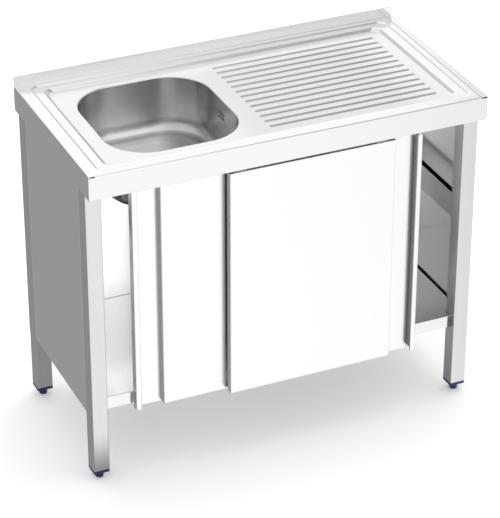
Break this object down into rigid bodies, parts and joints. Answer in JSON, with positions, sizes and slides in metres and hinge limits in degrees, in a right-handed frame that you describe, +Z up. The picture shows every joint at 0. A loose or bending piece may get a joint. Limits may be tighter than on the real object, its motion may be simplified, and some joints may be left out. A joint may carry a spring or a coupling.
{
  "type": "sink cabinet",
  "caption": "Stainless steel sink cabinet with a bowl, a ribbed drainer, a low upstand, two overlapping sliding doors, a bottom shelf and square legs on screw feet.",
  "frame": {"origin": "on the floor under the middle of the top", "axes": "+X to the right along the doors, +Y to the back, +Z up"},
  "size_m": [1, 0.5, 0.8655],
  "materials": {
    "stainless_steel": "satin sheet and tube",
    "blue_plastic": "moulded, dark blue",
    "white_nylon": "moulded, white",
    "black_rubber": "matt",
    "grey_plastic": "moulded, grey"
  },
  "bodies": {
    "cabinet": {"back_panel": "stainless_steel", "bottom_shelf": "stainless_steel", "door_guide": "stainless_steel", "door_track": "stainless_steel", "drainer_stiffener": "stainless_steel", "leg_front_left": "stainless_steel", "leg_front_right": "stainless_steel", "leg_plug_front_left": "blue_plastic", "leg_plug_front_right": "blue_plastic", "leg_plug_rear_left": "blue_plastic", "leg_plug_rear_right": "blue_plastic", "leg_rear_left": "stainless_steel", "leg_rear_right": "stainless_steel", "mid_rail_left": "stainless_steel", "mid_rail_right": "stainless_steel", "overflow_elbow": "grey_plastic", "shelf_stiffener": "stainless_steel", "side_apron_left": "stainless_steel", "side_apron_right": "stainless_steel", "side_panel_left": "stainless_steel", "side_panel_right": "stainless_steel", "sink_bowl": "stainless_steel", "sink_top": "stainless_steel", "top_rail_front": "stainless_steel", "top_rail_left": "stainless_steel", "top_rail_rear": "stainless_steel", "top_rail_right": "stainless_steel", "track_stop_left_open": "white_nylon", "track_stop_left_shut": "white_nylon", "track_stop_right_open": "white_nylon", "track_stop_right_shut": "white_nylon", "waste_fitting": "stainless_steel", "waste_gasket": "black_rubber", "waste_nut": "grey_plastic"},
    "left_door": {"door_hanger_left_inner": "stainless_steel", "door_hanger_left_outer": "stainless_steel", "door_left": "stainless_steel"},
    "right_door": {"door_hanger_right_inner": "stainless_steel", "door_hanger_right_outer": "stainless_steel", "door_right": "stainless_steel"},
    "left_inner_roller": {"door_roller_left_inner": "white_nylon"},
    "left_outer_roller": {"door_roller_left_outer": "white_nylon"},
    "right_inner_roller": {"door_roller_right_inner": "white_nylon"},
    "right_outer_roller": {"door_roller_right_outer": "white_nylon"},
    "front_left_foot": {"foot_front_left": "blue_plastic"},
    "front_right_foot": {"foot_front_right": "blue_plastic"},
    "rear_left_foot": {"foot_rear_left": "blue_plastic"},
    "rear_right_foot": {"foot_rear_right": "blue_plastic"}
  },
  "joints": [
    {"name": "left_door_slide", "type": "slide", "parent": "cabinet", "child": "left_door", "axis": [1, 0, 0], "range_m": [-0.069, 0.353]},
    {"name": "right_door_slide", "type": "slide", "parent": "cabinet", "child": "right_door", "axis": [1, 0, 0], "range_m": [-0.3009, 0.1211]},
    {"name": "left_outer_roller_spin", "type": "hinge", "parent": "left_door", "child": "left_outer_roller", "pos_m": [-0.286, -0.20845, 0.7907], "axis": [0, 1, 0], "continuous": true},
    {"name": "left_inner_roller_spin", "type": "hinge", "parent": "left_door", "child": "left_inner_roller", "pos_m": [0.0725, -0.20845, 0.7907], "axis": [0, 1, 0], "continuous": true},
    {"name": "right_outer_roller_spin", "type": "hinge", "parent": "right_door", "child": "right_outer_roller", "pos_m": [0.2339, -0.23295, 0.7907], "axis": [0, 1, 0], "continuous": true},
    {"name": "right_inner_roller_spin", "type": "hinge", "parent": "right_door", "child": "right_inner_roller", "pos_m": [-0.1246, -0.23295, 0.7907], "axis": [0, 1, 0], "continuous": true},
    {"name": "front_left_foot_level", "type": "slide", "parent": "cabinet", "child": "front_left_foot", "axis": [0, 0, -1], "range_m": [0, 0.025]},
    {"name": "front_right_foot_level", "type": "slide", "parent": "cabinet", "child": "front_right_foot", "axis": [0, 0, -1], "range_m": [0, 0.025]},
    {"name": "rear_left_foot_level", "type": "slide", "parent": "cabinet", "child": "rear_left_foot", "axis": [0, 0, -1], "range_m": [0, 0.025]},
    {"name": "rear_right_foot_level", "type": "slide", "parent": "cabinet", "child": "rear_right_foot", "axis": [0, 0, -1], "range_m": [0, 0.025]}
  ],
  "couplings": [
    {"joint": "left_outer_roller_spin", "follows": "left_door_slide", "rad_per_m": 125},
    {"joint": "left_inner_roller_spin", "follows": "left_door_slide", "rad_per_m": 125},
    {"joint": "right_outer_roller_spin", "follows": "right_door_slide", "rad_per_m": 125},
    {"joint": "right_inner_roller_spin", "follows": "right_door_slide", "rad_per_m": 125}
  ]
}
